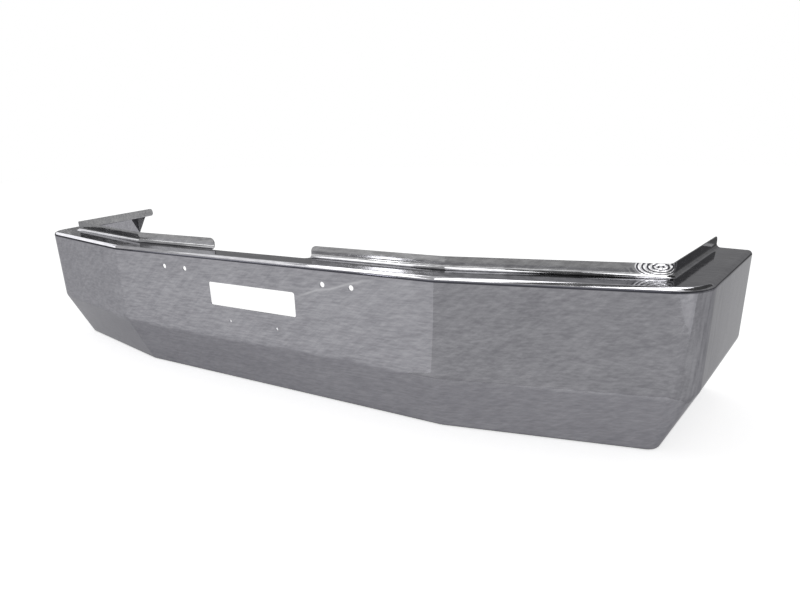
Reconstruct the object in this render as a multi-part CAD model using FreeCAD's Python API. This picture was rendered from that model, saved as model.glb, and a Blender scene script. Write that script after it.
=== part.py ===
import FreeCAD, Part
import math
import os

# Truck front bumper: one bright-plated steel pressing with two welded gussets.
# Frame: +X to the bumper's left-hand end as a viewer in front sees it on the right,
# +Y towards the truck, +Z up. The pressing stands on its bottom return at Z = 0.

# Plan of the outer face, right half; the left half mirrors it
CENTRE_HALF = 575.0         # middle of the bumper to each crease
SWEEP_ANGLE = 11.5          # each swept section turns back by this much
SWEPT_LENGTH = 582.0        # crease to the sharp corner that the bend rounds off
CORNER_RADIUS = 110.0       # outer face where it turns into the wing
WING_ANGLE = 13.5           # wings splay out from straight back by this much
WING_LENGTH = 500.0         # sharp corner to the wing's rear edge

# Section of the pressing
SHEET = 3.0                 # steel thickness
FACE_DROP = 253.0           # top flange down to the long horizontal bend
PANEL_DROP = 175.0          # horizontal bend down to the bottom edge
TUCK = 73.0                 # bottom edge sits this far behind the face
BOTTOM_RETURN = 20.0        # width of the return along the bottom
FLANGE_DEPTH = 88.0         # face back to the front of the upstanding lip
LIP_HEIGHT = 32.0           # lip's top above the flange
TOP_RADIUS = 12.0           # face to flange
LIP_RADIUS = 11.0           # flange to lip, on the hollow side
BEND_RADIUS = 45.0          # long horizontal bend
BOTTOM_RADIUS = 9.0         # lower panel to bottom return
LIP_END_RADIUS = 16.0       # rounded tops of the lip's free ends

# Cut-out in the flange and lip, a little left of the middle
GAP_LEFT = -213.0
GAP_RIGHT = 163.0
GAP_FLANGE_LEFT = 68.0      # flange that stays in front of the cut-out
GAP_CORNER_RADIUS = 16.0    # inner corners of the cut-out

# Openings in the centre face; heights are drops below the flange
SLOT_WIDTH = 323.0
SLOT_HEIGHT = 72.0
SLOT_TOP_DROP = 82.0
SLOT_CORNER_RADIUS = 7.0
BOLT_HOLE_RADIUS = 7.5
BOLT_DROP = 50.0
BOLT_PITCH = 90.0           # the two holes of one pair
BOLT_PAIR_CENTRE = 302.5    # middle of the bumper to the middle of a pair
PLATE_HOLE_RADIUS = 4.0
PLATE_HOLE_DROP = 198.0
PLATE_HOLE_SPACING = 178.0

# Triangular gusset welded under the flange at each wing's rear edge
GUSSET_SHEET = 3.0
GUSSET_WIDTH = 47.0         # along the flange's underside
GUSSET_DROP = 82.0          # down the inside of the wing
GUSSET_INSET = 2.0          # in from the rear edge, room for the weld
GUSSET_CLIP = 14.0          # clipped corner that clears the bend inside the wing

# Worked out from the sizes above
HEIGHT = FACE_DROP + PANEL_DROP
SWEEP = math.radians(SWEEP_ANGLE)
SPLAY = math.radians(WING_ANGLE)
CORNER_TURN = math.pi / 2 - SWEEP - SPLAY
CORNER_TANGENT = CORNER_RADIUS * math.tan(CORNER_TURN / 2)
DEEPEST = max(TUCK + BOTTOM_RETURN, FLANGE_DEPTH + SHEET)
TOTAL_DEPTH = (SWEPT_LENGTH * math.sin(SWEEP)
               + WING_LENGTH * math.cos(SPLAY)
               + DEEPEST * math.sin(SPLAY))
FRONT_Y = -TOTAL_DEPTH / 2  # plane of the centre face
OVERRUN = 60.0              # extra length that a mitre or a cut trims away
CUT_MARGIN = 5.0            # a cutting tool stands this far out of the sheet


def unit(vector):
    """The same direction with length one."""
    return FreeCAD.Vector(vector).normalize()


def left_of(direction):
    """The direction a quarter turn to the left, in the XY plane."""
    return FreeCAD.Vector(-direction.y, direction.x, 0)


def offset_corners(corners, distance):
    """Corners of the same outline moved to its left by a distance."""
    normals = [left_of(unit(b - a)) for a, b in zip(corners, corners[1:])]
    moved = [corners[0] + normals[0] * distance]
    for corner, before, after in zip(corners[1:], normals, normals[1:]):
        mitre = (before + after) * (1 / (1 + before.dot(after)))
        moved.append(corner + mitre * distance)
    moved.append(corners[-1] + normals[-1] * distance)
    return moved


def rounded_outline(corners, radii):
    """An open outline as ("line", a, b) and ("arc", a, mid, b) pieces."""
    pieces = []
    start = corners[0]
    for before, corner, after, radius in zip(corners, corners[1:], corners[2:], radii):
        arriving = unit(corner - before)
        leaving = unit(after - corner)
        half_turn = arriving.getAngle(leaving) / 2
        tangent = radius * math.tan(half_turn)
        inwards = unit(leaving - arriving)
        first = corner - arriving * tangent
        last = corner + leaving * tangent
        middle = corner + inwards * (radius / math.cos(half_turn) - radius)
        pieces.append(("line", start, first))
        pieces.append(("arc", first, middle, last))
        start = last
    pieces.append(("line", start, corners[-1]))
    return pieces


def section_pieces():
    """Closed section of the sheet: x is the depth behind the face, y the height."""
    outer = [FreeCAD.Vector(FLANGE_DEPTH, HEIGHT + LIP_HEIGHT, 0),
             FreeCAD.Vector(FLANGE_DEPTH, HEIGHT, 0),
             FreeCAD.Vector(0, HEIGHT, 0),
             FreeCAD.Vector(0, PANEL_DROP, 0),
             FreeCAD.Vector(TUCK, 0, 0),
             FreeCAD.Vector(TUCK + BOTTOM_RETURN, 0, 0)]
    radii = [LIP_RADIUS, TOP_RADIUS, BEND_RADIUS, BOTTOM_RADIUS]
    inner = offset_corners(outer, SHEET)
    inner_radii = [LIP_RADIUS + SHEET, TOP_RADIUS - SHEET, BEND_RADIUS - SHEET, BOTTOM_RADIUS - SHEET]
    front = rounded_outline(outer, radii)
    back = rounded_outline(inner[::-1], inner_radii[::-1])
    foot = [("line", outer[-1], inner[-1])]
    top = [("line", inner[0], outer[0])]
    return front + foot + back + top


def section_face(station, inwards):
    """The section set up at a point of the plan, facing along the pressing."""
    def place(point):
        return station + inwards * point.x + FreeCAD.Vector(0, 0, point.y)

    edges = []
    for kind, *points in section_pieces():
        placed = [place(point) for point in points]
        if kind == "line":
            edges.append(Part.LineSegment(*placed).toShape())
        else:
            edges.append(Part.Arc(*placed).toShape())
    return Part.Face(Part.Wire(edges))


def plan_direction(angle):
    """Direction in plan, turned back from +X by an angle."""
    return FreeCAD.Vector(math.cos(angle), math.sin(angle), 0)


CREASE = FreeCAD.Vector(CENTRE_HALF, FRONT_Y, 0)
SWEPT_RUN = plan_direction(SWEEP)
WING_RUN = plan_direction(math.pi / 2 - SPLAY)
CORNER = CREASE + SWEPT_RUN * SWEPT_LENGTH
REAR = CORNER + WING_RUN * WING_LENGTH


def mitre_block(side):
    """A block with one face on the crease's mitre plane; side +1 lies outboard."""
    reach = CENTRE_HALF
    depth = TOTAL_DEPTH
    height = HEIGHT + LIP_HEIGHT + 2 * CUT_MARGIN
    low_x = 0 if side > 0 else -reach
    block = Part.makeBox(reach, depth, height, FreeCAD.Vector(low_x, -depth / 2, -CUT_MARGIN))
    turn = FreeCAD.Rotation(FreeCAD.Vector(0, 0, 1), SWEEP_ANGLE / 2)
    block.Placement = FreeCAD.Placement(CREASE, turn)
    return block


def centre_section():
    """Straight middle section between the two mitred creases."""
    reach = CENTRE_HALF + OVERRUN
    face = section_face(FreeCAD.Vector(-reach, FRONT_Y, 0), FreeCAD.Vector(0, 1, 0))
    prism = face.extrude(FreeCAD.Vector(2 * reach, 0, 0))
    outboard = mitre_block(1)
    return prism.cut(outboard).cut(mirrored(outboard))


def swept_section():
    """Right swept section, from the mitred crease to the corner's bend."""
    start = CREASE - SWEPT_RUN * OVERRUN
    length = OVERRUN + SWEPT_LENGTH - CORNER_TANGENT
    face = section_face(start, left_of(SWEPT_RUN))
    return face.extrude(SWEPT_RUN * length).cut(mitre_block(-1))


def corner_section():
    """Right corner: the section turned about the centre of the bend."""
    start = CORNER - SWEPT_RUN * CORNER_TANGENT
    centre = start + left_of(SWEPT_RUN) * CORNER_RADIUS
    face = section_face(start, left_of(SWEPT_RUN))
    return face.revolve(centre, FreeCAD.Vector(0, 0, 1), math.degrees(CORNER_TURN))


def wing_section():
    """Right wing, from the corner's bend to its rear edge."""
    start = CORNER + WING_RUN * CORNER_TANGENT
    face = section_face(start, left_of(WING_RUN))
    return face.extrude(WING_RUN * (WING_LENGTH - CORNER_TANGENT))


def mirrored(shape):
    """The same shape on the other side of the bumper's middle."""
    return shape.mirror(FreeCAD.Vector(0, 0, 0), FreeCAD.Vector(1, 0, 0))


def through_hole(x, drop, radius):
    """Cutter for a round hole in the centre face."""
    reach = SHEET + 2 * CUT_MARGIN
    start = FreeCAD.Vector(x, FRONT_Y - CUT_MARGIN, HEIGHT - drop)
    return Part.makeCylinder(radius, reach, start, FreeCAD.Vector(0, 1, 0))


def rounded_block(low, size, radius, axis):
    """A block whose four edges along one axis are rounded."""
    block = Part.makeBox(size.x, size.y, size.z, low)
    along = [edge for edge in block.Edges
             if abs((edge.Vertexes[1].Point - edge.Vertexes[0].Point).normalize().dot(axis)) > 0.99]
    return block.makeFillet(radius, along)


def slot_cutter():
    """Cutter for the wide slot in the middle of the face."""
    low = FreeCAD.Vector(-SLOT_WIDTH / 2, FRONT_Y - CUT_MARGIN, HEIGHT - SLOT_TOP_DROP - SLOT_HEIGHT)
    size = FreeCAD.Vector(SLOT_WIDTH, SHEET + 2 * CUT_MARGIN, SLOT_HEIGHT)
    return rounded_block(low, size, SLOT_CORNER_RADIUS, FreeCAD.Vector(0, 1, 0))


def gap_cutter():
    """Cutter for the cut-out: it takes the lip and the back of the flange."""
    back = FLANGE_DEPTH + SHEET - GAP_FLANGE_LEFT
    low = FreeCAD.Vector(GAP_LEFT, FRONT_Y + GAP_FLANGE_LEFT, HEIGHT - LIP_HEIGHT)
    size = FreeCAD.Vector(GAP_RIGHT - GAP_LEFT, back + GAP_CORNER_RADIUS + CUT_MARGIN, 3 * LIP_HEIGHT)
    return rounded_block(low, size, GAP_CORNER_RADIUS, FreeCAD.Vector(0, 0, 1))


def lip_end_cutter(corner, run):
    """Cutter that rounds the lip's top at a free end; run points away from the lip."""
    top = FreeCAD.Vector(corner.x, corner.y, HEIGHT + LIP_HEIGHT)
    up = FreeCAD.Vector(0, 0, 1)
    inwards = left_of(run)
    back = -1 * run
    start = top + back * LIP_END_RADIUS
    middle = top + (back - up) * (LIP_END_RADIUS * (1 - math.sqrt(0.5)))
    end = top - up * LIP_END_RADIUS
    outside = top + run * CUT_MARGIN
    above = up * CUT_MARGIN
    edges = [Part.Arc(start, middle, end).toShape()]
    loop = [end, outside - up * LIP_END_RADIUS, outside + above, start + above, start]
    for a, b in zip(loop, loop[1:]):
        edges.append(Part.LineSegment(a, b).toShape())
    wedge = Part.Face(Part.Wire(edges))
    wedge.translate(inwards * -CUT_MARGIN)
    return wedge.extrude(inwards * (SHEET + 2 * CUT_MARGIN))


def free_end_cutters():
    """Cutters for the lip's four free ends: two at the wings, two at the cut-out."""
    lip_y = FRONT_Y + FLANGE_DEPTH
    right_wing = lip_end_cutter(REAR + left_of(WING_RUN) * FLANGE_DEPTH, WING_RUN)
    to_right = lip_end_cutter(FreeCAD.Vector(GAP_LEFT, lip_y, 0), FreeCAD.Vector(1, 0, 0))
    to_left = lip_end_cutter(FreeCAD.Vector(-GAP_RIGHT, lip_y, 0), FreeCAD.Vector(1, 0, 0))
    return [right_wing, mirrored(right_wing), to_right, mirrored(to_left)]


def bolt_holes():
    """Cutters for the two pairs of bolt holes that hold the bumper to its brackets."""
    holes = []
    for side in (-1, 1):
        for end in (-1, 1):
            x = side * BOLT_PAIR_CENTRE + end * BOLT_PITCH / 2
            holes.append(through_hole(x, BOLT_DROP, BOLT_HOLE_RADIUS))
    return holes


def plate_holes():
    """Cutters for the two small holes of the number plate."""
    return [through_hole(side * PLATE_HOLE_SPACING / 2, PLATE_HOLE_DROP, PLATE_HOLE_RADIUS)
            for side in (-1, 1)]


def face_bar():
    """The whole pressing, with its openings."""
    right = [swept_section(), corner_section(), wing_section()]
    left = [mirrored(section) for section in right]
    bar = centre_section().multiFuse(right + left).removeSplitter()
    cutters = [slot_cutter(), gap_cutter()] + free_end_cutters() + bolt_holes() + plate_holes()
    return bar.cut(cutters)


def right_gusset():
    """Triangular plate under the flange at the right wing's rear edge."""
    under = HEIGHT - SHEET
    station = REAR - WING_RUN * GUSSET_INSET
    inwards = left_of(WING_RUN)
    outline = [(SHEET + GUSSET_CLIP, under),
               (SHEET + GUSSET_WIDTH, under),
               (SHEET, under - GUSSET_DROP),
               (SHEET, under - GUSSET_CLIP)]
    corners = [station + inwards * u + FreeCAD.Vector(0, 0, z) for u, z in outline]
    plate = Part.Face(Part.makePolygon(corners + corners[:1]))
    return plate.extrude(WING_RUN * -GUSSET_SHEET)


def export(shape, node):
    """Write one node's solid and say how large it is."""
    box = shape.BoundBox
    print(node, "solids", len(shape.Solids), "valid", shape.isValid(),
          "volume cm3 %.1f" % (shape.Volume / 1000),
          "box", [round(v, 1) for v in (box.XMin, box.YMin, box.ZMin, box.XMax, box.YMax, box.ZMax)])
    shape.exportStep("parts/" + node + ".step")


os.makedirs("parts", exist_ok=True)
gusset = right_gusset()
export(face_bar(), "face_bar")
export(gusset, "right_end_gusset")
export(mirrored(gusset), "left_end_gusset")
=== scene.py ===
# %% [markdown]
# A truck's front bumper, off the truck and standing on its bottom edge. The CAD model gives the
# frame: one pressing, called face_bar, and two small gussets. Blender adds the looks: a finer skin
# for the pressing, so that bright plate reflects smoothly, and the plating's own finish.

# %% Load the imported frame
import math

import bmesh
import bpy
from mathutils import Matrix, Vector


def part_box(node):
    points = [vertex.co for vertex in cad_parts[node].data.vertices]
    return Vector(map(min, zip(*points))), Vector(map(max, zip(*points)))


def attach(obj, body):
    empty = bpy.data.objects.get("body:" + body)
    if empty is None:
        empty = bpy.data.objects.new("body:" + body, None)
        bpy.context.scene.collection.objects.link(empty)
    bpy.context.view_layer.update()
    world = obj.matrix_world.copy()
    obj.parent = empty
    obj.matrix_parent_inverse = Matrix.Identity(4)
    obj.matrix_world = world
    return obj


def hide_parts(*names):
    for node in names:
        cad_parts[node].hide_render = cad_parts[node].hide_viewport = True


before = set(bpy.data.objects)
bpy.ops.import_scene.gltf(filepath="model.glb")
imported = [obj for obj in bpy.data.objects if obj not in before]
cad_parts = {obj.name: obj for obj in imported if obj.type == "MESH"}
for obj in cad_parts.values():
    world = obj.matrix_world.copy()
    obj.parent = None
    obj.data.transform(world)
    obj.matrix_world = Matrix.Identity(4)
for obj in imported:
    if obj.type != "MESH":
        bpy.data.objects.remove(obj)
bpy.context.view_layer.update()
scene = bpy.context.scene
print("nodes:", sorted(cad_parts))

# %% [markdown]
# The photograph's camera stands in front of the right swept section, a little above the bumper and
# close to it, with a wide lens. Its place and turn were found by fitting straight edges, holes and
# outline points of the photograph to the CAD sizes, so it is set here by numbers. A camera could
# also be aimed with a Track To constraint, but that can't give the small roll.

# %% Camera
CAMERA_AT = Vector((1.0706, -1.4119, 0.7292))
CAMERA_YAW = math.radians(-27.86)
CAMERA_PITCH = math.radians(-16.42)
CAMERA_ROLL = math.radians(-1.43)
CAMERA_LENS = 23.83
CAMERA_SENSOR = 36.0


def camera_turn(yaw, pitch, roll):
    """Rotation of a camera that looks along +Y, turned by yaw, pitch and roll."""
    ahead = Vector((math.sin(yaw) * math.cos(pitch), math.cos(yaw) * math.cos(pitch), math.sin(pitch)))
    level = Vector((math.cos(yaw), -math.sin(yaw), 0.0))
    upright = level.cross(ahead)
    right = level * math.cos(roll) + upright * math.sin(roll)
    up = upright * math.cos(roll) - level * math.sin(roll)
    return Matrix((right, up, -ahead)).transposed()


camera_data = bpy.data.cameras.new("camera")
camera_data.lens = CAMERA_LENS
camera_data.sensor_width = CAMERA_SENSOR
camera = bpy.data.objects.new("camera", camera_data)
scene.collection.objects.link(camera)
camera_matrix = camera_turn(CAMERA_YAW, CAMERA_PITCH, CAMERA_ROLL)
camera.matrix_world = Matrix.Translation(CAMERA_AT) @ camera_matrix.to_4x4()
scene.camera = camera
print("camera lens", CAMERA_LENS, "mm")

# %% [markdown]
# The pressing is one sheet folded to one section and bent round in plan. The same driving sizes as
# in the CAD source give its section and its plan here, in metres. Only the creases differ: the CAD
# has them sharp, and here they get the small radius of a real fold.

# %% Sizes of the pressing
CENTRE_HALF = 0.575
SWEEP = math.radians(11.5)
SWEPT_LENGTH = 0.582
CORNER_RADIUS = 0.110
SPLAY = math.radians(13.5)
WING_LENGTH = 0.500
CREASE_RADIUS = 0.060

SHEET = 0.003
FACE_DROP = 0.253
PANEL_DROP = 0.175
TUCK = 0.073
BOTTOM_RETURN = 0.020
FLANGE_DEPTH = 0.088
LIP_HEIGHT = 0.032
TOP_RADIUS = 0.012
LIP_RADIUS = 0.011
BEND_RADIUS = 0.045
BOTTOM_RADIUS = 0.009

HEIGHT = FACE_DROP + PANEL_DROP
FRONT_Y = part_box("face_bar")[0][1]
print("flange at", HEIGHT, "m, face at y", round(FRONT_Y, 4), "m")

# %% [markdown]
# A fold is a heading that turns step by step. Bright plate shows every change of slope, so a bend
# gets many short steps, and each flat gets guard points close to its ends: they keep the smooth
# shading of a bend from creeping out over the flat beside it.

# %% Section of the sheet
GUARD = 0.0025
BEND_STEPS = {"lip": 10, "top": 12, "bend": 10, "bottom": 8}
FLAT_STEPS = {"lip": 0.0009, "flange": 0.004}


def left_of(direction):
    """A direction in two dimensions, turned a quarter to the left."""
    return Vector((-direction.y, direction.x))


def flat_points(start, end, pitch):
    """Points of a flat: its two ends, a guard point near each, and more if it has a pitch."""
    along = (end - start).normalized()
    length = (end - start).length
    places = [0.0, GUARD, length - GUARD, length]
    if pitch:
        count = int((length - 2 * GUARD) / pitch)
        places += [GUARD + (length - 2 * GUARD) * step / count for step in range(1, count)]
    return [(start + along * place, left_of(along)) for place in sorted(places)]


def bend_points(start, heading, turn, radius, steps):
    """Points of a bend after its first one; a turn above zero goes to the left."""
    side = 1 if turn > 0 else -1
    centre = start + left_of(heading) * side * radius
    points = []
    for step in range(1, steps):
        now = Matrix.Rotation(turn * step / steps, 2) @ heading
        points.append((centre - left_of(now) * side * radius, left_of(now)))
    return points


def folded_line(corners, bends, pitches):
    """Outer line of the section as (point, direction to the sheet's back)."""
    line = []
    start = corners[0]
    for place, (radius, steps) in enumerate(bends):
        heading = (corners[place + 1] - corners[place]).normalized()
        leaving = (corners[place + 2] - corners[place + 1]).normalized()
        turn = math.atan2(heading.x * leaving.y - heading.y * leaving.x, heading.dot(leaving))
        tangent = radius * math.tan(abs(turn) / 2)
        stop = corners[place + 1] - heading * tangent
        line += flat_points(start, stop, pitches[place])
        line += bend_points(stop, heading, turn, radius, steps)
        start = corners[place + 1] + leaving * tangent
    return line + flat_points(start, corners[-1], pitches[-1])


section_corners = [
    Vector((FLANGE_DEPTH, HEIGHT + LIP_HEIGHT)),
    Vector((FLANGE_DEPTH, HEIGHT)),
    Vector((0.0, HEIGHT)),
    Vector((0.0, PANEL_DROP)),
    Vector((TUCK, 0.0)),
    Vector((TUCK + BOTTOM_RETURN, 0.0)),
]
section_bends = [
    (LIP_RADIUS, BEND_STEPS["lip"]),
    (TOP_RADIUS, BEND_STEPS["top"]),
    (BEND_RADIUS, BEND_STEPS["bend"]),
    (BOTTOM_RADIUS, BEND_STEPS["bottom"]),
]
section_pitches = [FLAT_STEPS["lip"], FLAT_STEPS["flange"], None, None, None]
section = folded_line(section_corners, section_bends, section_pitches)
print("section has", len(section), "points on its outer line")

# %% [markdown]
# In plan the sheet follows stations. Each has a foot on the face's line and a mitre, the vector
# that a point behind the face moves along for each metre of depth. At a crease all stations share
# one mitre, so every layer of the section turns with the same small radius. At a corner the mitre
# turns with the bend, so the layers are rings about one centre. Close stations on both sides of
# the right corner give the ripples of its lip enough points.

# %% Stations of the plan
CREASE_STEPS = 6
CORNER_STEPS = 26
NEAR_CORNER = 0.120
NEAR_STEP = 0.0018


def plan_heading(angle):
    """Direction in plan, turned back from +X by an angle."""
    return Vector((math.cos(angle), math.sin(angle)))


centre_run = plan_heading(0.0)
swept_run = plan_heading(SWEEP)
wing_run = plan_heading(math.pi / 2 - SPLAY)
crease = Vector((CENTRE_HALF, FRONT_Y))
corner = crease + swept_run * SWEPT_LENGTH
rear = corner + wing_run * WING_LENGTH


def crease_stations():
    """The right crease, with a guard station on each side."""
    mitre = (left_of(centre_run) + left_of(swept_run)) / (1 + left_of(centre_run).dot(left_of(swept_run)))
    tangent = CREASE_RADIUS * math.tan(SWEEP / 2)
    stations = [(crease - centre_run * (tangent + GUARD), mitre)]
    for step in range(CREASE_STEPS + 1):
        spoke = left_of(plan_heading(SWEEP * step / CREASE_STEPS))
        stations.append((crease + (mitre - spoke) * CREASE_RADIUS, mitre))
    return stations + [(crease + swept_run * (tangent + GUARD), mitre)]


def corner_stations(near):
    """The right corner, with close stations near metres ahead of it and half as far behind."""
    turn = math.pi / 2 - SPLAY - SWEEP
    tangent = CORNER_RADIUS * math.tan(turn / 2)
    first = corner - swept_run * tangent
    centre = first + left_of(swept_run) * CORNER_RADIUS
    count = int(near / NEAR_STEP)
    before = [GUARD + NEAR_STEP * step for step in range(count, -1, -1)]
    stations = [(first - swept_run * back, left_of(swept_run)) for back in before]
    for step in range(CORNER_STEPS + 1):
        spoke = left_of(plan_heading(SWEEP + turn * step / CORNER_STEPS))
        stations.append((centre - spoke * CORNER_RADIUS, spoke))
    last = corner + wing_run * tangent
    after = [GUARD + NEAR_STEP * step for step in range(count // 2 + 1)]
    return stations + [(last + wing_run * on, left_of(wing_run)) for on in after]


def half_plan(near):
    """Stations of the right half, from the crease to the wing's rear edge."""
    return crease_stations() + corner_stations(near) + [(rear, left_of(wing_run))]


right_half = half_plan(NEAR_CORNER)
left_half = [(Vector((-foot.x, foot.y)), Vector((-mitre.x, mitre.y))) for foot, mitre in half_plan(0.0)]
stations = left_half[::-1] + right_half
print("plan has", len(stations), "stations")

# %% [markdown]
# Geometry Nodes sweep the section along the plan. Curve to Mesh makes the net of faces and carries
# the attributes of both lines onto it, and Set Position then puts each point at its foot, plus its
# depth along the mitre, plus its height. The sheet's thickness is a named input: the back of the
# sheet is the same line, moved back by that much. A Screw or an Array modifier couldn't mitre.

# %% Helpers for node trees


def line_object(name, points, closed, vectors):
    """A mesh of edges through points, with vector attributes for the tree to read."""
    edges = [(place, place + 1) for place in range(len(points) - 1)]
    if closed:
        edges.append((len(points) - 1, 0))
    mesh = bpy.data.meshes.new(name)
    mesh.from_pydata(points, edges, [])
    for label, values in vectors.items():
        layer = mesh.attributes.new(label, "FLOAT_VECTOR", "POINT")
        for item, value in zip(layer.data, values):
            item.vector = value
    holder = bpy.data.objects.new(name, mesh)
    scene.collection.objects.link(holder)
    return holder


def tree_with(name, inputs):
    """A geometry tree with a geometry input and output and the named inputs asked for."""
    tree = bpy.data.node_groups.new(name, "GeometryNodeTree")
    tree.interface.new_socket("Geometry", in_out="INPUT", socket_type="NodeSocketGeometry")
    tree.interface.new_socket("Geometry", in_out="OUTPUT", socket_type="NodeSocketGeometry")
    for label, kind in inputs:
        tree.interface.new_socket(label, in_out="INPUT", socket_type=kind)
    entry = tree.nodes.new("NodeGroupInput")
    leave = tree.nodes.new("NodeGroupOutput")
    return tree, entry, leave


def named_vector(tree, label):
    """Output socket of a stored vector attribute."""
    node = tree.nodes.new("GeometryNodeInputNamedAttribute")
    node.data_type = "FLOAT_VECTOR"
    node.inputs["Name"].default_value = label
    return node.outputs["Attribute"]


def maths(tree, kind, first, second):
    """Output socket of a maths node on two sockets or numbers."""
    node = tree.nodes.new("ShaderNodeMath")
    node.operation = kind
    for socket, value in zip(node.inputs, (first, second)):
        if isinstance(value, (int, float)):
            socket.default_value = value
        else:
            tree.links.new(value, socket)
    return node.outputs[0]


def vector_maths(tree, kind, first, second):
    """Output socket of a vector maths node; SCALE takes a number as its second value."""
    node = tree.nodes.new("ShaderNodeVectorMath")
    node.operation = kind
    tree.links.new(first, node.inputs[0])
    target = node.inputs["Scale"] if kind == "SCALE" else node.inputs[1]
    if isinstance(second, (int, float, tuple)):
        target.default_value = second
    else:
        tree.links.new(second, target)
    return node.outputs[0]


def value_of(tree, kind, first, second):
    """Number socket of a vector maths node, such as LENGTH or DOT_PRODUCT."""
    node = tree.nodes.new("ShaderNodeVectorMath")
    node.operation = kind
    tree.links.new(first, node.inputs[0])
    node.inputs[1].default_value = second
    return node.outputs["Value"]


def split(tree, vector):
    """The three number sockets of a vector."""
    node = tree.nodes.new("ShaderNodeSeparateXYZ")
    tree.links.new(vector, node.inputs[0])
    return node.outputs


def finished(tree, geometry, entry, leave):
    """Ends a tree with smooth shading, Realize Instances and Set Material."""
    smooth = tree.nodes.new("GeometryNodeSetShadeSmooth")
    realize = tree.nodes.new("GeometryNodeRealizeInstances")
    paint = tree.nodes.new("GeometryNodeSetMaterial")
    tree.links.new(geometry, smooth.inputs["Geometry"])
    tree.links.new(smooth.outputs[0], realize.inputs[0])
    tree.links.new(realize.outputs[0], paint.inputs["Geometry"])
    tree.links.new(entry.outputs["Finish"], paint.inputs["Material"])
    tree.links.new(paint.outputs[0], leave.inputs[0])


def baked(holder, tree, values):
    """Runs a tree on an object once, and leaves the result as the object's plain mesh."""
    modifier = holder.modifiers.new(tree.name, "NODES")
    modifier.node_group = tree
    for item in tree.interface.items_tree:
        if item.item_type == "SOCKET" and item.in_out == "INPUT" and item.name in values:
            modifier[item.identifier] = values[item.name]
    bake_modifiers(holder)


def bake_modifiers(holder):
    """Replaces an object's mesh by the result of its modifiers, and removes them."""
    bpy.context.view_layer.update()
    seen = holder.evaluated_get(bpy.context.evaluated_depsgraph_get())
    mesh = bpy.data.meshes.new_from_object(seen)
    holder.modifiers.clear()
    holder.data = mesh


print("helpers are ready")

# %% [markdown]
# A material is needed before the first tree can set it. Its nodes come later, once the shape is
# there to look at.

# %% Empty finishes
bright_chrome = bpy.data.materials.new("bright_chrome")
plated_gusset = bpy.data.materials.new("plated_gusset")
print("two finishes to fill")

# %% [markdown]
# The tree turns both lines into curves, sweeps one along the other, and then reads each point's
# section place, back direction, foot and mitre from the attributes to put it where it belongs.

# %% The folding tree


def folding_tree():
    """Sweeps a section along a plan line, with the sheet's thickness as an input."""
    sizes = [("Section", "NodeSocketObject"), ("Sheet", "NodeSocketFloat"), ("Finish", "NodeSocketMaterial")]
    tree, entry, leave = tree_with("folded_sheet", sizes)
    plan = tree.nodes.new("GeometryNodeMeshToCurve")
    lookup = tree.nodes.new("GeometryNodeObjectInfo")
    profile = tree.nodes.new("GeometryNodeMeshToCurve")
    sweep = tree.nodes.new("GeometryNodeCurveToMesh")
    sweep.inputs["Fill Caps"].default_value = True
    tree.links.new(entry.outputs["Geometry"], plan.inputs[0])
    tree.links.new(entry.outputs["Section"], lookup.inputs["Object"])
    tree.links.new(lookup.outputs["Geometry"], profile.inputs[0])
    tree.links.new(plan.outputs[0], sweep.inputs["Curve"])
    tree.links.new(profile.outputs[0], sweep.inputs["Profile Curve"])

    fold = split(tree, named_vector(tree, "fold"))
    back = split(tree, named_vector(tree, "to_back"))
    behind = maths(tree, "MULTIPLY", fold[2], entry.outputs["Sheet"])
    depth = maths(tree, "ADD", fold[0], maths(tree, "MULTIPLY", behind, back[0]))
    height = maths(tree, "ADD", fold[1], maths(tree, "MULTIPLY", behind, back[1]))
    lift = tree.nodes.new("ShaderNodeCombineXYZ")
    tree.links.new(height, lift.inputs[2])
    inwards = vector_maths(tree, "SCALE", named_vector(tree, "mitre"), depth)
    place = vector_maths(tree, "ADD", named_vector(tree, "foot"), inwards)
    place = vector_maths(tree, "ADD", place, lift.outputs[0])
    move = tree.nodes.new("GeometryNodeSetPosition")
    tree.links.new(sweep.outputs[0], move.inputs["Geometry"])
    tree.links.new(place, move.inputs["Position"])
    finished(tree, move.outputs[0], entry, leave)
    return tree

print("the folding tree is ready to be built")

# %% [markdown]
# The section becomes a closed ring: its outer line, and the same line again as the sheet's back.
# Each point says by the third number of "fold" on which side it is, and the finish reads that later.

# %% Sweep the sheet along the plan
front = [(point.x, point.y, 0.0) for point, back in section]
behind = [(point.x, point.y, 1.0) for point, back in reversed(section)]
to_back = [(back.x, back.y, 0.0) for point, back in section]
ring = front + behind
spread = [(u, z + SHEET * side, 0.0) for u, z, side in ring]
section_line = line_object("section_line", spread, True, {"fold": ring, "to_back": to_back + to_back[::-1]})
feet = [(foot.x, foot.y, 0.0) for foot, mitre in stations]
mitres = [(mitre.x, mitre.y, 0.0) for foot, mitre in stations]
bar = line_object("plated_face_bar", feet, False, {"foot": feet, "mitre": mitres})
baked(bar, folding_tree(), {"Section": section_line, "Sheet": SHEET, "Finish": bright_chrome})
bpy.data.objects.remove(section_line)
print("swept sheet:", len(bar.data.polygons), "faces")

# %% [markdown]
# A sheet that is to be cut and measured has to be closed, with its faces turned outwards. The sign
# of the volume tells which way they are turned.

# %% Measure the mesh


def mesh_report(holder):
    """Says whether a mesh is closed, and the sign and size of its volume."""
    net = bmesh.new()
    net.from_mesh(holder.data)
    open_edges = sum(1 for edge in net.edges if not edge.is_manifold)
    volume = net.calc_volume(signed=True) * 1e6
    triangles = len(net.calc_loop_triangles())
    net.free()
    print(holder.name, "open edges", open_edges, "volume cm3 %.1f" % volume, "triangles", triangles)
    return volume


if mesh_report(bar) < 0:
    bar.data.flip_normals()
    mesh_report(bar)

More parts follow.
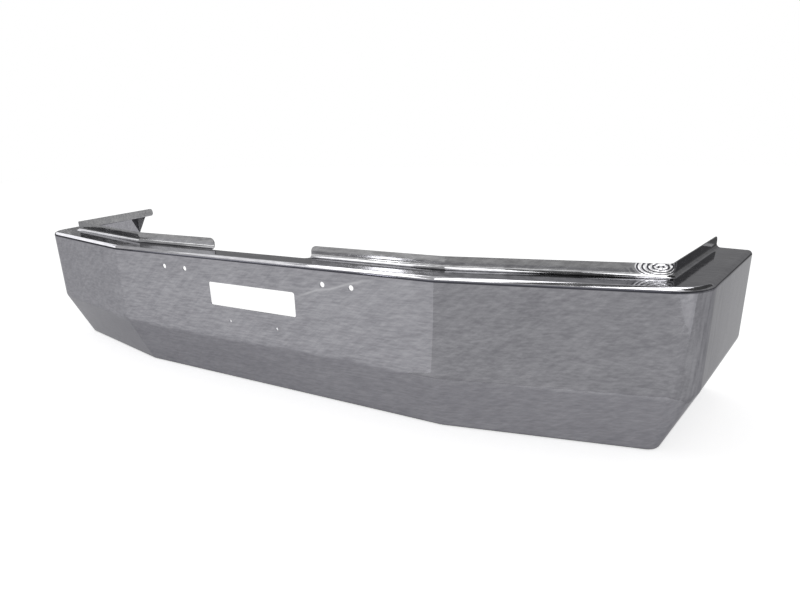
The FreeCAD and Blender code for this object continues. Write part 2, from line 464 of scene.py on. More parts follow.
# %% [markdown]
# The right corner of the lip is rippled: where the folded lip was pulled round the corner, the steel
# kept small ring-shaped waves. They are shallow, but bright plate makes dark and pale rings of them,
# which the finish here adds as painted reflection. The shape is in the mesh, so a second tree moves
# the lip's dense points along their own mitre by a fading wave of the distance to the rings' middle.
# A bump map would leave the edge straight. The rings are ovals, so heights count for more than
# lengths in that distance. The plate's finish uses the same distance later to paint those reflection
# rings, so it is a helper for both kinds of tree.

# %% Ripples of the right lip corner
RIPPLE_FROM_CORNER = 0.024
RIPPLE_ABOVE_FLANGE = 0.025
RIPPLE_REACH = 0.085
RIPPLE_WAVE = 0.0110
RIPPLE_HEIGHT = 0.0006
RIPPLE_FLATNESS = 2.2
RIPPLE_START = 0.004


def ring_distance(tree, place, middle):
    """Output socket with the distance to the rings' middle, with heights stretched."""
    apart = vector_maths(tree, "SUBTRACT", place, middle)
    ovals = vector_maths(tree, "MULTIPLY", apart, (1.0, 1.0, RIPPLE_FLATNESS))
    return value_of(tree, "LENGTH", ovals, (0.0, 0.0, 0.0))


def ripple_tree():
    """Moves points above the flange to and fro along their mitre, in fading rings."""
    sizes = [("Middle", "NodeSocketVector"), ("Reach", "NodeSocketFloat"), ("Wave", "NodeSocketFloat"),
             ("Height", "NodeSocketFloat"), ("Base", "NodeSocketFloat"), ("Finish", "NodeSocketMaterial")]
    tree, entry, leave = tree_with("lip_ripples", sizes)
    point = tree.nodes.new("GeometryNodeInputPosition").outputs[0]
    away = ring_distance(tree, point, entry.outputs["Middle"])
    turns = maths(tree, "DIVIDE", away, entry.outputs["Wave"])
    swing = maths(tree, "COSINE", maths(tree, "MULTIPLY", turns, 2 * math.pi), 0.0)
    fade = maths(tree, "SUBTRACT", 1.0, maths(tree, "DIVIDE", away, entry.outputs["Reach"]))
    fade = maths(tree, "MAXIMUM", fade, 0.0)
    rise = maths(tree, "SUBTRACT", split(tree, point)[2], entry.outputs["Base"])
    rise = maths(tree, "MINIMUM", maths(tree, "MAXIMUM", maths(tree, "DIVIDE", rise, LIP_RADIUS), 0.0), 1.0)
    amount = maths(tree, "MULTIPLY", maths(tree, "MULTIPLY", swing, fade), rise)
    amount = maths(tree, "MULTIPLY", amount, entry.outputs["Height"])
    move = tree.nodes.new("GeometryNodeSetPosition")
    tree.links.new(entry.outputs["Geometry"], move.inputs["Geometry"])
    tree.links.new(vector_maths(tree, "SCALE", named_vector(tree, "mitre"), amount), move.inputs["Offset"])
    finished(tree, move.outputs[0], entry, leave)
    return tree


lip_corner = corner + left_of(swept_run) * FLANGE_DEPTH
lip_corner -= swept_run * FLANGE_DEPTH * math.tan((math.pi / 2 - SPLAY - SWEEP) / 2)
ripple_spot = lip_corner - swept_run * RIPPLE_FROM_CORNER
ripple_middle = (ripple_spot.x, ripple_spot.y, HEIGHT + RIPPLE_ABOVE_FLANGE)
ripple_sizes = {"Middle": ripple_middle, "Reach": RIPPLE_REACH, "Wave": RIPPLE_WAVE,
                "Height": RIPPLE_HEIGHT, "Base": HEIGHT + RIPPLE_START, "Finish": bright_chrome}
baked(bar, ripple_tree(), ripple_sizes)
mesh_report(bar)

# %% [markdown]
# The openings are cut as a punch does it: closed cutters go through the sheet and a Boolean takes
# them away. The round holes repeat, so Geometry Nodes place one punch on each hole's middle and
# read its radius from the point. The slot, the cut-out and the lip's rounded ends are prisms.

# %% Sizes of the openings
GAP_LEFT = -0.213
GAP_RIGHT = 0.163
GAP_FLANGE_LEFT = 0.068
GAP_CORNER_RADIUS = 0.016
SLOT_WIDTH = 0.323
SLOT_HEIGHT = 0.072
SLOT_TOP_DROP = 0.082
SLOT_CORNER_RADIUS = 0.007
BOLT_HOLE_RADIUS = 0.0075
BOLT_DROP = 0.050
BOLT_PITCH = 0.090
BOLT_PAIR_CENTRE = 0.3025
PLATE_HOLE_RADIUS = 0.004
PLATE_HOLE_DROP = 0.198
PLATE_HOLE_SPACING = 0.178
LIP_END_RADIUS = 0.016
CUT_MARGIN = 0.005

holes = []
for side in (-1, 1):
    for end in (-1, 1):
        bolt_x = side * BOLT_PAIR_CENTRE + end * BOLT_PITCH / 2
        holes.append((bolt_x, HEIGHT - BOLT_DROP, BOLT_HOLE_RADIUS))
    holes.append((side * PLATE_HOLE_SPACING / 2, HEIGHT - PLATE_HOLE_DROP, PLATE_HOLE_RADIUS))
print("round holes:", len(holes))

# %% [markdown]
# Round holes are punched in one stroke. One cylinder with a radius of 1 m serves all of them: each
# point carries its own stretch, so two sizes of hole need no second tree.

# %% Round punches
PUNCH_SIDES = 40


def punch_tree():
    """One cylinder through the sheet at each point, as wide as the point's radius says."""
    sizes = [("Reach", "NodeSocketFloat"), ("Finish", "NodeSocketMaterial")]
    tree, entry, leave = tree_with("round_punches", sizes)
    punch = tree.nodes.new("GeometryNodeMeshCylinder")
    punch.inputs["Vertices"].default_value = PUNCH_SIDES
    punch.inputs["Radius"].default_value = 1.0
    tree.links.new(entry.outputs["Reach"], punch.inputs["Depth"])
    place = tree.nodes.new("GeometryNodeInstanceOnPoints")
    place.inputs["Rotation"].default_value = (math.pi / 2, 0.0, 0.0)
    tree.links.new(entry.outputs["Geometry"], place.inputs["Points"])
    tree.links.new(punch.outputs["Mesh"], place.inputs["Instance"])
    tree.links.new(named_vector(tree, "stretch"), place.inputs["Scale"])
    finished(tree, place.outputs[0], entry, leave)
    return tree


hole_middles = [(x, FRONT_Y + SHEET / 2, z) for x, z, radius in holes]
stretches = [(radius, radius, 1.0) for x, z, radius in holes]
punches = line_object("round_punches", hole_middles, False, {"stretch": stretches})
punch_reach = SHEET + 2 * CUT_MARGIN
baked(punches, punch_tree(), {"Reach": punch_reach, "Finish": bright_chrome})
mesh_report(punches)

# %% [markdown]
# The slot is cut through the face and the cut-out through the flange and its lip, both with rounded
# corners, as a die leaves them. One function makes both, and a placing function turns each its way.

# %% Prism cutters
ROUND_STEPS = 10


def rounded_rectangle(low, high, radius):
    """Outline of a rectangle with rounded corners, anticlockwise."""
    middles = [(high.x - radius, high.y - radius), (low.x + radius, high.y - radius),
               (low.x + radius, low.y + radius), (high.x - radius, low.y + radius)]
    outline = []
    for quarter, middle in enumerate(middles):
        for step in range(ROUND_STEPS + 1):
            spoke = plan_heading(math.pi / 2 * (quarter + step / ROUND_STEPS))
            outline.append(Vector(middle) + spoke * radius)
    return outline


def prism(name, outline, place, reach):
    """A closed prism: place puts an outline point and a height of 0 or reach into the frame."""
    count = len(outline)
    points = [place(point, level) for level in (0.0, reach) for point in outline]
    faces = [list(range(count)), list(range(count, 2 * count))]
    for here in range(count):
        ahead = (here + 1) % count
        faces.append([here, ahead, count + ahead, count + here])
    mesh = bpy.data.meshes.new(name)
    mesh.from_pydata(points, [], faces)
    net = bmesh.new()
    net.from_mesh(mesh)
    bmesh.ops.recalc_face_normals(net, faces=net.faces)
    net.to_mesh(mesh)
    net.free()
    mesh.materials.append(bright_chrome)
    cutter = bpy.data.objects.new(name, mesh)
    scene.collection.objects.link(cutter)
    return cutter


def through_face(point, level):
    """Outline in X and Z, cut along Y through the face."""
    return (point.x, FRONT_Y - CUT_MARGIN + level, point.y)


def through_flange(point, level):
    """Outline in X and Y, cut along Z through the flange and the lip."""
    return (point.x, point.y, HEIGHT - LIP_HEIGHT + level)


slot_top = HEIGHT - SLOT_TOP_DROP
slot_low = Vector((-SLOT_WIDTH / 2, slot_top - SLOT_HEIGHT))
slot_high = Vector((SLOT_WIDTH / 2, slot_top))
gap_low = Vector((GAP_LEFT, FRONT_Y + GAP_FLANGE_LEFT))
gap_high = Vector((GAP_RIGHT, FRONT_Y + FLANGE_DEPTH + 2 * GAP_CORNER_RADIUS))
slot_outline = rounded_rectangle(slot_low, slot_high, SLOT_CORNER_RADIUS)
gap_outline = rounded_rectangle(gap_low, gap_high, GAP_CORNER_RADIUS)
slot_cutter = prism("slot_cutter", slot_outline, through_face, punch_reach)
gap_cutter = prism("gap_cutter", gap_outline, through_flange, 3 * LIP_HEIGHT)
mesh_report(slot_cutter)
mesh_report(gap_cutter)

# %% [markdown]
# The lip ends freely at both wings and on both sides of the cut-out, and its upper corner is rounded
# off there. The cutter is what lies outside a quarter circle, set square to the lip.

# %% Cutters of the lip's free ends


def end_outline():
    """Corner piece outside a quarter circle: x runs past the lip's end, y is the height."""
    outline = []
    for step in range(ROUND_STEPS + 1):
        spoke = plan_heading(math.pi / 2 * (1 - step / ROUND_STEPS))
        outline.append(Vector((-LIP_END_RADIUS, -LIP_END_RADIUS)) + spoke * LIP_END_RADIUS)
    outline.append(Vector((CUT_MARGIN, -LIP_END_RADIUS)))
    outline.append(Vector((CUT_MARGIN, CUT_MARGIN)))
    outline.append(Vector((-LIP_END_RADIUS, CUT_MARGIN)))
    return outline


def lip_end_cutter(name, lip_end, run):
    """Rounds the lip's top where it ends; run points out of the end, in plan."""
    across = left_of(run)

    def place(point, level):
        spot = lip_end + run * point.x + across * (level - punch_reach / 2)
        return (spot.x, spot.y, HEIGHT + LIP_HEIGHT + point.y)

    return prism(name, end_outline(), place, punch_reach)


def mirror_plan(point):
    """The same point or direction on the other side of the middle."""
    return Vector((-point.x, point.y))


lip_middle = FLANGE_DEPTH + SHEET / 2
wing_end = rear + left_of(wing_run) * lip_middle
lip_ends = [
    (wing_end, wing_run),
    (mirror_plan(wing_end), mirror_plan(wing_run)),
    (Vector((GAP_LEFT, FRONT_Y + lip_middle)), Vector((1.0, 0.0))),
    (Vector((GAP_RIGHT, FRONT_Y + lip_middle)), Vector((-1.0, 0.0))),
]
end_cutters = [lip_end_cutter("lip_end_cutter", *lip_end) for lip_end in lip_ends]
print("lip ends to round:", len(end_cutters))

# %% [markdown]
# All the cuts are made in one run. The exact solver is slower than the others, but it keeps the
# sheet closed where cutters pass through its rounded bends.

# %% Punch the sheet


def cut_away(holder, cutters):
    """Takes cutters out of a mesh one after the other, and removes them."""
    for cutter in cutters:
        modifier = holder.modifiers.new(cutter.name, "BOOLEAN")
        modifier.operation = "DIFFERENCE"
        modifier.solver = "EXACT"
        modifier.object = cutter
    bake_modifiers(holder)
    for cutter in cutters:
        bpy.data.objects.remove(cutter)


cut_away(bar, [slot_cutter, gap_cutter, punches] + end_cutters)
mesh_report(bar)

# %% [markdown]
# A punched edge is never quite sharp, and plate builds up a little on it. The Bevel modifier rounds
# only edges that turn by more than the bends' small steps do, and shading is smooth up to a set
# angle, so faces stay soft over bends and crisp at cut edges.

# %% Soften the cut edges
CUT_EDGE = 0.0006
CUT_EDGE_STEPS = 2
CUT_EDGE_ANGLE = math.radians(50)
SMOOTH_ANGLE = math.radians(15)

soften = bar.modifiers.new("soft_edges", "BEVEL")
soften.width = CUT_EDGE
soften.segments = CUT_EDGE_STEPS
soften.limit_method = "ANGLE"
soften.angle_limit = CUT_EDGE_ANGLE
bake_modifiers(bar)
bar.data.polygons.foreach_set("use_smooth", [True] * len(bar.data.polygons))
bar.data.set_sharp_from_angle(angle=SMOOTH_ANGLE)
mesh_report(bar)

# %% [markdown]
# Bright plate is a metal with little roughness. It isn't perfect: the photograph shows a pale
# marbling of short level and slanting wisps, and a slight haze. The haze is the plate's own, but the
# marbled tone in the base colour is partly painted reflection: it stands in for a mottled floor that
# the plate mirrors. Both finishes use the same marbling, so it is a node group: it puts out masks,
# and each material sets its own shader values. At the corners the drawn sheet shows upright streaks
# instead, which the group puts out as well.

# %% Helpers for shader nodes
NOISE_ROUGHNESS = 0.65


def shader_group(name, outputs):
    """An empty shader group with a vector input called Place and the named number outputs."""
    group = bpy.data.node_groups.new(name, "ShaderNodeTree")
    group.interface.new_socket("Place", in_out="INPUT", socket_type="NodeSocketVector")
    for label in outputs:
        group.interface.new_socket(label, in_out="OUTPUT", socket_type="NodeSocketFloat")
    entry = group.nodes.new("NodeGroupInput")
    leave = group.nodes.new("NodeGroupOutput")
    return group, entry, leave


def streaked_noise(tree, place, kind):
    """Noise drawn out into streaks: tilt turns them up from level, stretch makes them long."""
    turned = tree.nodes.new("ShaderNodeMapping")
    turned.inputs["Rotation"].default_value = (0.0, math.radians(kind["tilt"]), 0.0)
    squeeze = tree.nodes.new("ShaderNodeMapping")
    squeeze.inputs["Scale"].default_value = (1.0 / kind["stretch"], 1.0, 1.0)
    noise = tree.nodes.new("ShaderNodeTexNoise")
    noise.inputs["Scale"].default_value = kind["scale"]
    noise.inputs["Detail"].default_value = kind["detail"]
    noise.inputs["Roughness"].default_value = NOISE_ROUGHNESS
    tree.links.new(place, turned.inputs["Vector"])
    tree.links.new(turned.outputs[0], squeeze.inputs["Vector"])
    tree.links.new(squeeze.outputs[0], noise.inputs["Vector"])
    return noise.outputs["Fac"]


def ranged(tree, value, low, high, new_low, new_high):
    """Moves a value from one range to another, held at the ends."""
    node = tree.nodes.new("ShaderNodeMapRange")
    node.clamp = True
    for socket, number in zip(node.inputs[1:5], (low, high, new_low, new_high)):
        socket.default_value = number
    tree.links.new(value, node.inputs[0])
    return node.outputs[0]


print("shader helpers are ready")

# %% [markdown]
# The marbling is three noises, each drawn out along its own direction: fine level wisps, slanting
# veins and a broad cloud. A fourth, upright one is for the corners, and a slow one gives the sheet
# its waves. An image could carry such marks, but noise on Object coordinates has no seam.

# %% Marbling group
WISPS = {"tilt": 3, "stretch": 6.0, "scale": 150.0, "detail": 4.0, "span": (0.35, 0.65), "share": 0.50}
VEINS = {"tilt": 40, "stretch": 7.0, "scale": 95.0, "detail": 3.0, "span": (0.40, 0.72), "share": 0.25}
CLOUD = {"tilt": 5, "stretch": 3.0, "scale": 20.0, "detail": 3.0, "span": (0.30, 0.70), "share": 0.25}
UPRIGHT = {"tilt": 86, "stretch": 9.0, "scale": 70.0, "detail": 2.0, "span": (0.38, 0.66)}
SLOW_WAVES = {"tilt": 60, "stretch": 2.5, "scale": 5.0, "detail": 2.0}


def spread_noise(tree, place, kind):
    """Streaked noise, moved from its own span to 0 and 1."""
    return ranged(tree, streaked_noise(tree, place, kind), *kind["span"], 0.0, 1.0)


def marbling_group():
    """Pale level wisps and slanting veins, upright streaks, and the slight waves of a pressed sheet."""
    group, entry, leave = shader_group("plate_marbling", ["Veins", "Waves", "Streaks"])
    place = entry.outputs["Place"]
    shares = []
    for kind in (WISPS, VEINS, CLOUD):
        shares.append(maths(group, "MULTIPLY", spread_noise(group, place, kind), kind["share"]))
    mixed = maths(group, "ADD", maths(group, "ADD", shares[0], shares[1]), shares[2])
    group.links.new(mixed, leave.inputs["Veins"])
    group.links.new(streaked_noise(group, place, SLOW_WAVES), leave.inputs["Waves"])
    group.links.new(spread_noise(group, place, UPRIGHT), leave.inputs["Streaks"])
    return group


marbling = marbling_group()
print("marbling group has", len(marbling.nodes), "nodes")

# %% [markdown]
# At the rounded corners of the face the sheet was drawn, and its marks run up and down. The mask
# finds these places by where they lie: far outboard, and ahead of the wings' flats.

# %% Place of the corner streaks
CORNER_X = (1.09, 1.15)
CORNER_Y = (-0.06, 0.0)
STREAK_STRENGTH = 0.6


def corner_mask(tree, where):
    """1 on both rounded corners of the face, 0 along the front and the wings."""
    x, y = split(tree, where)[:2]
    outboard = ranged(tree, maths(tree, "ABSOLUTE", x, 0.0), *CORNER_X, 0.0, 1.0)
    return maths(tree, "MULTIPLY", outboard, ranged(tree, y, *CORNER_Y, 1.0, 0.0))


print("streaks begin", CORNER_X[0], "m from the middle")

# %% [markdown]
# A pale scuff runs from the slot's upper right corner up towards the flange. It has no depth, so it is
# drawn in the finish: a line between two places, pushed to and fro by the sheet's slow waves.

# %% Place of the scuff
SCUFF_FROM = Vector((0.157, 0.0, 0.330))
SCUFF_TO = Vector((0.423, 0.0, 0.407))
SCUFF_WIDTH = 0.0050
SCUFF_WANDER = 0.045
SCUFF_FADE = 1 / 5
SCUFF_STRENGTH = 0.6
SCUFF_TONE = (0.46, 0.46, 0.475, 1.0)


def wandering(tree, value, waves, reach):
    """A value pushed to and fro by the sheet's slow waves."""
    push = maths(tree, "MULTIPLY", maths(tree, "SUBTRACT", waves, 0.5), reach)
    return maths(tree, "ADD", value, push)


def scuff_mask(tree, where, waves):
    """1 along the wandering scuff, fading out to its sides and its two ends."""
    along = (SCUFF_TO - SCUFF_FROM).normalized()
    across = Vector((-along.z, 0.0, along.x))
    length = (SCUFF_TO - SCUFF_FROM).length
    apart = vector_maths(tree, "SUBTRACT", where, tuple(SCUFF_FROM))
    run = value_of(tree, "DOT_PRODUCT", apart, tuple(along))
    off = wandering(tree, value_of(tree, "DOT_PRODUCT", apart, tuple(across)), waves, SCUFF_WANDER)
    mask = ranged(tree, maths(tree, "ABSOLUTE", off, 0.0), 0.0, SCUFF_WIDTH, 1.0, 0.0)
    mask = maths(tree, "MULTIPLY", mask, ranged(tree, run, 0.0, length * SCUFF_FADE, 0.0, 1.0))
    return maths(tree, "MULTIPLY", mask, ranged(tree, run, length * (1 - SCUFF_FADE), length, 1.0, 0.0))


print("scuff is", round((SCUFF_TO - SCUFF_FROM).length, 3), "m long")

# %% [markdown]
# The ripples are in the mesh, but this studio's panels alone don't give them the photograph's black
# and white rings. So the rings are painted reflection: the finish's tone goes from dark to bright with
# the same wave.

# %% Place of the painted reflection rings
# Painted reflection: dark and bright ring tones for the rippled lip.
RING_PAINTED_DARK = (0.05, 0.05, 0.06, 1.0)
RING_PAINTED_BRIGHT = (0.95, 0.95, 0.96, 1.0)
RING_EDGE = 0.35
RING_SPAN = (-0.75, -0.1)


def ripple_reflection_masks(tree, where):
    """Two masks: the rippled part of the lip, and the bright rings of its painted reflection."""
    away = ring_distance(tree, where, ripple_middle)
    swing = maths(tree, "COSINE", maths(tree, "MULTIPLY", away, 2 * math.pi / RIPPLE_WAVE), 0.0)
    rings = ranged(tree, swing, *RING_SPAN, 0.0, 1.0)
    edge = RIPPLE_REACH * (1 - RING_EDGE)
    near = ranged(tree, away, edge - RIPPLE_WAVE / 4, edge, 1.0, 0.0)
    above = ranged(tree, split(tree, where)[2], HEIGHT + RIPPLE_START, HEIGHT + 2 * RIPPLE_START, 0.0, 1.0)
    return maths(tree, "MULTIPLY", near, above), rings


print("rings lie about", [round(value, 3) for value in ripple_middle])

# %% [markdown]
# The plate's tone goes by height: the face, the tucked panel, the flange with the front radius, and
# the lip each have a dark and a pale tone, and the marbling runs between the two. The plate is one,
# so the differences between these pairs are painted: the lighter flange and the darker lip are
# painted reflection, and the darker tucked panel is painted shade, the mirrored shaded floor close
# to it. The tones are low for bright plate, because it mirrors the white surround as well as the
# panels. A thin dark line along the front radius is painted reflection of a dark horizon, and the
# dark bottom edge is painted reflection of the shaded ground that the bottom fold mirrors. The
# sheet's back has one tone.

# %% Tones of the plate
# Painted reflection: the bottom edge is darkened, standing for the shaded ground that the bottom fold
# mirrors.
EDGE_PAINTED_REFLECTION = (0.05, 0.05, 0.055, 1.0)
EDGE_PAINTED_BAND = 0.006
# Painted reflection and shade: the flange's tones are lighter and the lip's and tucked panel's darker than
# the face's, though it is one plate.
FACE_TONES = ((0.197, 0.195, 0.213, 1.0), (0.347, 0.345, 0.366, 1.0))
TOP_PAINTED_REFLECTION_TONES = ((0.25, 0.248, 0.262, 1.0), (0.46, 0.458, 0.47, 1.0))
LIP_PAINTED_REFLECTION_TONES = ((0.15, 0.15, 0.155, 1.0), (0.34, 0.34, 0.345, 1.0))
LIP_FROM = 0.0005
LIP_FULL = 0.003
PANEL_PAINTED_SHADE_TONES = ((0.168, 0.166, 0.183, 1.0), (0.262, 0.260, 0.277, 1.0))
PANEL_SOFT = 0.012
PANEL_WANDER = 0.040
BACK_TONE = (0.13, 0.13, 0.14, 1.0)
# Painted reflection: a thin dark line along the front radius, standing for a mirrored dark horizon.
LINE_PAINTED_REFLECTION = (0.05, 0.05, 0.06, 1.0)
LINE_LOW = 0.0125
LINE_HIGH = 0.0080
LINE_SOFT = 0.0012


def two_tone(tree, mask, dark, pale):
    """Colour between two by a mask."""
    colour = tree.nodes.new("ShaderNodeMix")
    colour.data_type = "RGBA"
    for socket, value in ((colour.inputs["A"], dark), (colour.inputs["B"], pale)):
        if isinstance(value, tuple):
            socket.default_value = value
        else:
            tree.links.new(value, socket)
    tree.links.new(mask, colour.inputs["Factor"])
    return colour.outputs["Result"]


def height_tones(tree, marks, level, above, tones):
    """Marbled tones of the face, the flange, the lip and the tucked panel, each at its height; the
    differences between them are painted reflection and painted shade.
    """
    # The marbled mix within each pair is partly painted reflection of a mottled floor, partly the plate's
    # own tone.
    face, top, lip, tucked_panel = [two_tone(tree, marks.outputs["Veins"], *pair) for pair in tones]
    bend = wandering(tree, level, marks.outputs["Waves"], PANEL_WANDER)
    tucked = ranged(tree, bend, PANEL_DROP - PANEL_SOFT, PANEL_DROP, 1.0, 0.0)
    body = two_tone(tree, above, two_tone(tree, tucked, face, tucked_panel), top)
    upstand = ranged(tree, level, HEIGHT + LIP_FROM, HEIGHT + LIP_FULL, 0.0, 1.0)
    return two_tone(tree, upstand, body, lip)


def painted_reflection_line(tree, level, body):
    """Adds the thin dark line along the front radius, a painted reflection of a dark horizon."""
    foot = ranged(tree, level, HEIGHT - LINE_LOW - LINE_SOFT, HEIGHT - LINE_LOW, 0.0, 1.0)
    head = ranged(tree, level, HEIGHT - LINE_HIGH, HEIGHT - LINE_HIGH + LINE_SOFT, 1.0, 0.0)
    return two_tone(tree, maths(tree, "MULTIPLY", foot, head), body, LINE_PAINTED_REFLECTION)


def sheet_back(tree, body):
    """Gives the sheet's back one tone, where the skin's fold attribute is 1."""
    side = tree.nodes.new("ShaderNodeAttribute")
    side.attribute_name = "fold"
    return two_tone(tree, split(tree, side.outputs["Vector"])[2], body, BACK_TONE)


def special_marks(tree, marks, place, above, face_tones, body):
    """Adds the corner streaks, the scuff and the lip's painted reflection rings."""
    upright = two_tone(tree, marks.outputs["Streaks"], *face_tones)
    facing = maths(tree, "SUBTRACT", 1.0, above)
    streaked = maths(tree, "MULTIPLY", corner_mask(tree, place), facing)
    body = two_tone(tree, maths(tree, "MULTIPLY", streaked, STREAK_STRENGTH), body, upright)
    scuff = scuff_mask(tree, place, marks.outputs["Waves"])
    body = two_tone(tree, maths(tree, "MULTIPLY", scuff, SCUFF_STRENGTH), body, SCUFF_TONE)
    zone, rings = ripple_reflection_masks(tree, place)
    # Painted reflection: dark and bright rings on the rippled lip.
    return two_tone(tree, zone, body, two_tone(tree, rings, RING_PAINTED_DARK, RING_PAINTED_BRIGHT))


print("tones are ready")

# %% [markdown]
# The finished plate joins tone, haze and waves. Its roughness follows the marbling, because the pale
# wisps are slightly duller, and a faint bump bends reflections as the waves of a pressed sheet do.
# The gussets get the same finish with duller values: thin plate over unpolished steel. They are the
# CAD model's own solids, and only their finish is set here.

# %% Bright plate
GRAZING_TINT = (0.57, 0.57, 0.58, 1.0)
WAVE_HEIGHT = 0.0008
HAZE_SPAN = (0.3, 0.8)
CHROME_METALLIC = 1.0
CHROME_HAZE = (0.06, 0.14)
GUSSET_TONES = ((0.42, 0.42, 0.43, 1.0), (0.56, 0.56, 0.57, 1.0))
GUSSET_METALLIC = 0.3
GUSSET_HAZE = (0.45, 0.6)


def plate(material, tones, metallic, haze):
    """Marbled plate from four pairs of tones, with roughness between the two values of haze."""
    material.use_nodes = True
    tree = material.node_tree
    shader = tree.nodes["Principled BSDF"]
    shader.inputs["Metallic"].default_value = metallic
    shader.inputs["Specular Tint"].default_value = GRAZING_TINT
    place = tree.nodes.new("ShaderNodeTexCoord").outputs["Object"]
    marks = tree.nodes.new("ShaderNodeGroup")
    marks.node_tree = marbling
    tree.links.new(place, marks.inputs["Place"])
    level = split(tree, place)[2]
    above = ranged(tree, level, HEIGHT - TOP_RADIUS, HEIGHT - TOP_RADIUS / 2, 0.0, 1.0)
    body = height_tones(tree, marks, level, above, tones)
    body = sheet_back(tree, painted_reflection_line(tree, level, body))
    body = special_marks(tree, marks, place, above, tones[0], body)
    # Painted reflection: dark band along the bottom edge.
    foot = ranged(tree, level, EDGE_PAINTED_BAND / 2, EDGE_PAINTED_BAND, 0.0, 1.0)
    tree.links.new(two_tone(tree, foot, EDGE_PAINTED_REFLECTION, body), shader.inputs["Base Color"])
    rough = ranged(tree, marks.outputs["Veins"], *HAZE_SPAN, *haze)
    tree.links.new(rough, shader.inputs["Roughness"])
    bump = tree.nodes.new("ShaderNodeBump")
    bump.inputs["Distance"].default_value = WAVE_HEIGHT
    tree.links.new(marks.outputs["Waves"], bump.inputs["Height"])
    tree.links.new(bump.outputs[0], shader.inputs["Normal"])


plate(bright_chrome, (FACE_TONES, TOP_PAINTED_REFLECTION_TONES, LIP_PAINTED_REFLECTION_TONES, PANEL_PAINTED_SHADE_TONES), CHROME_METALLIC, CHROME_HAZE)
plate(plated_gusset, (GUSSET_TONES,) * 4, GUSSET_METALLIC, GUSSET_HAZE)
for label in ("left_end_gusset", "right_end_gusset"):
    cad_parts[label].material_slots[0].material = plated_gusset
print("plate is marbled")

# %% [markdown]
# A bright metal shows only what stands around it, so a studio for it is built from panels, as a
# product photographer does. First come a pale floor, which glows a little so that it stays white,
# and a white surround, which shines full white only where it is seen.

# %% Floor and surround
FLOOR_HALF = 14.0
FLOOR_SINK = 0.0005
FLOOR_GLOW = 0.60
FLOOR_TONE = (0.93, 0.93, 0.93, 1.0)
FLOOR_ROUGHNESS = 0.9
WHITE = (1.0, 1.0, 1.0, 1.0)
AMBIENT = 0.5


def white_where_seen(tree, background):
    """1 for camera, glossy and transmission rays, which see the plain white surround."""
    path = tree.nodes.new("ShaderNodeLightPath")
    seen = maths(tree, "MAXIMUM", path.outputs["Is Camera Ray"], path.outputs["Is Glossy Ray"])
    seen = maths(tree, "MAXIMUM", seen, path.outputs["Is Transmission Ray"])
    tree.links.new(ranged(tree, seen, 0.0, 1.0, AMBIENT, 1.0), background.inputs["Strength"])


world = bpy.data.worlds.new("studio_surround")
scene.world = world
world.use_nodes = True
surround = world.node_tree.nodes["Background"]
surround.inputs["Color"].default_value = WHITE
white_where_seen(world.node_tree, surround)
scene.view_settings.view_transform = "Standard"


def panel(name, middle, across, up_way, width, height):
    """A flat rectangular mesh about its middle."""
    half_across = Vector(across).normalized() * width / 2
    half_up = Vector(up_way).normalized() * height / 2
    middle = Vector(middle)
    points = [middle - half_across - half_up, middle + half_across - half_up,
              middle + half_across + half_up, middle - half_across + half_up]
    mesh = bpy.data.meshes.new(name)
    mesh.from_pydata(points, [], [(0, 1, 2, 3)])
    holder = bpy.data.objects.new(name, mesh)
    scene.collection.objects.link(holder)
    return holder


floor_material = bpy.data.materials.new("pale_floor")
floor_material.use_nodes = True
floor_shader = floor_material.node_tree.nodes["Principled BSDF"]
floor_shader.inputs["Base Color"].default_value = FLOOR_TONE
floor_shader.inputs["Roughness"].default_value = FLOOR_ROUGHNESS
floor_shader.inputs["Specular IOR Level"].default_value = 0.0
floor_shader.inputs["Emission Color"].default_value = WHITE
floor_shader.inputs["Emission Strength"].default_value = FLOOR_GLOW
floor = panel("floor", (0.0, 0.0, -FLOOR_SINK), (1, 0, 0), (0, 1, 0), 2 * FLOOR_HALF, 2 * FLOOR_HALF)
floor.data.materials.append(floor_material)
print("floor and surround stand")

# %% [markdown]
# Grey screens stand behind, to the left and to the right. Bright softboxes in front, to the left and
# overhead make the white lines along the bends, and dark flags and dark overhead panels the dark
# lines beside them. Cards just above the floor and by the right wing make those sides a little
# darker. A single environment image could do the same, but each panel can be moved by itself.
# Panels are seen by reflections only. Each call gives a name, a brightness where 1 is white, the
# middle, two directions, and the sizes along them in metres.

# %% Panels


def glow_material(brightness):
    """Plain light of a set brightness, where 1 is white."""
    material = bpy.data.materials.new("panel_glow")
    material.use_nodes = True
    tree = material.node_tree
    tree.nodes.remove(tree.nodes["Principled BSDF"])
    light = tree.nodes.new("ShaderNodeEmission")
    light.inputs["Strength"].default_value = brightness
    tree.links.new(light.outputs[0], tree.nodes["Material Output"].inputs["Surface"])
    return material


def reflected_panel(name, brightness, *place):
    """A glowing panel that only reflections see."""
    holder = panel(name, *place)
    holder.data.materials.append(glow_material(brightness))
    holder.visible_camera = False
    holder.visible_diffuse = False
    holder.visible_shadow = False
    holder.visible_transmission = False


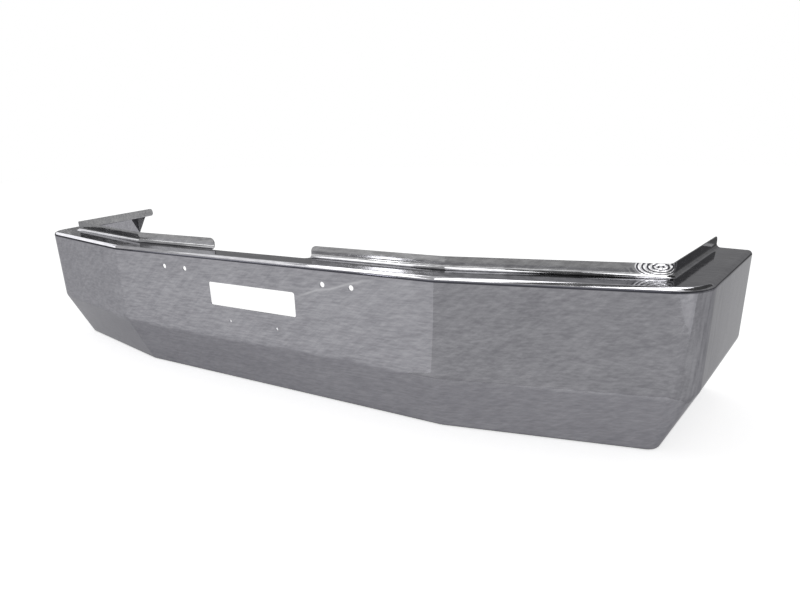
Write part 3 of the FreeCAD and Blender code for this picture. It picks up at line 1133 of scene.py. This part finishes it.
ALONG_X = (1, 0, 0)
ALONG_Y = (0, 1, 0)
UPWARD = (0, 0, 1)
reflected_panel("back_screen", 0.45, (-1.5, 5.0, 1.45), ALONG_X, UPWARD, 20.0, 2.3)
reflected_panel("front_softbox", 2.1, (-0.2, -4.6, 1.75), ALONG_X, UPWARD, 6.4, 2.1)
reflected_panel("front_left_softbox", 3.6, (-4.9, -4.6, 1.75), ALONG_X, UPWARD, 3.0, 2.1)
reflected_panel("front_flag", 0.03, (-0.5, -4.5, 0.55), ALONG_X, UPWARD, 9.0, 0.34)
reflected_panel("left_softbox", 3.2, (-5.6, 0.45, 1.95), ALONG_Y, UPWARD, 4.1, 1.4)
reflected_panel("left_screen", 0.40, (-5.6, 0.0, 1.02), ALONG_Y, UPWARD, 6.5, 0.42)
reflected_panel("left_flag", 0.05, (-5.5, -1.0, 0.60), ALONG_Y, UPWARD, 6.5, 0.40)
reflected_panel("overhead_left", 2.0, (-1.25, -0.3, 1.6), ALONG_X, ALONG_Y, 0.9, 1.8)
reflected_panel("overhead_middle", 5.0, (-0.38, -0.3, 1.6), ALONG_X, ALONG_Y, 0.60, 2.0)
reflected_panel("overhead_right", 5.0, (0.57, -0.3, 1.6), ALONG_X, ALONG_Y, 0.38, 2.2)
reflected_panel("flange_glint", 28.0, (-1.72, -4.0, 1.42), ALONG_X, UPWARD, 0.37, 0.35)
reflected_panel("floor_card", 0.80, (3.0, 2.3, 0.002), ALONG_X, ALONG_Y, 3.5, 5.4)
reflected_panel("front_card", 0.87, (1.26, -1.98, 0.002), ALONG_X, ALONG_Y, 1.68, 3.2)
reflected_panel("wing_card", 0.22, (1.95, 1.2, 0.355), ALONG_X, UPWARD, 1.4, 0.17)
reflected_panel("overhead_dark", 0.12, (2.7, 1.2, 1.9), ALONG_X, ALONG_Y, 2.0, 4.0)
reflected_panel("overhead_gap", 0.25, (0.99, -0.3, 1.62), ALONG_X, ALONG_Y, 0.46, 2.2)
reflected_panel("right_screen", 0.45, (6.0, 2.5, 1.6), ALONG_Y, UPWARD, 16.0, 3.19)
reflected_panel("overhead_corner", 6.0, (1.42, -0.3, 1.6), ALONG_X, ALONG_Y, 0.40, 2.2)
print("panels stand round the bumper")

# %% [markdown]
# Two soft lamps high up on both sides light the floor and leave the bumper's soft shadow on it.

# %% Lamps
LAMP_SIDE = 2.0
LAMP_BRIGHTNESS = 1.5


def soft_lamp(name, at, aim):
    """A square lamp whose face shows LAMP_BRIGHTNESS times white."""
    data = bpy.data.lights.new(name, "AREA")
    data.shape = "RECTANGLE"
    data.size = LAMP_SIDE
    data.size_y = LAMP_SIDE
    data.energy = LAMP_BRIGHTNESS * math.pi * LAMP_SIDE * LAMP_SIDE
    lamp = bpy.data.objects.new(name, data)
    scene.collection.objects.link(lamp)
    lamp.location = at
    lamp.rotation_euler = (Vector(aim) - Vector(at)).to_track_quat("-Z", "Y").to_euler()
    lamp.visible_camera = False


soft_lamp("lamp_left", (-3.2, -2.8, 4.2), (0.0, 0.0, 0.3))
soft_lamp("lamp_right", (3.4, -2.6, 4.2), (0.4, 0.0, 0.3))
print("lamps are lit")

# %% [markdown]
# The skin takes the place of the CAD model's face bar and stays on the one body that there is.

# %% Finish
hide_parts("face_bar")
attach(bar, "root")
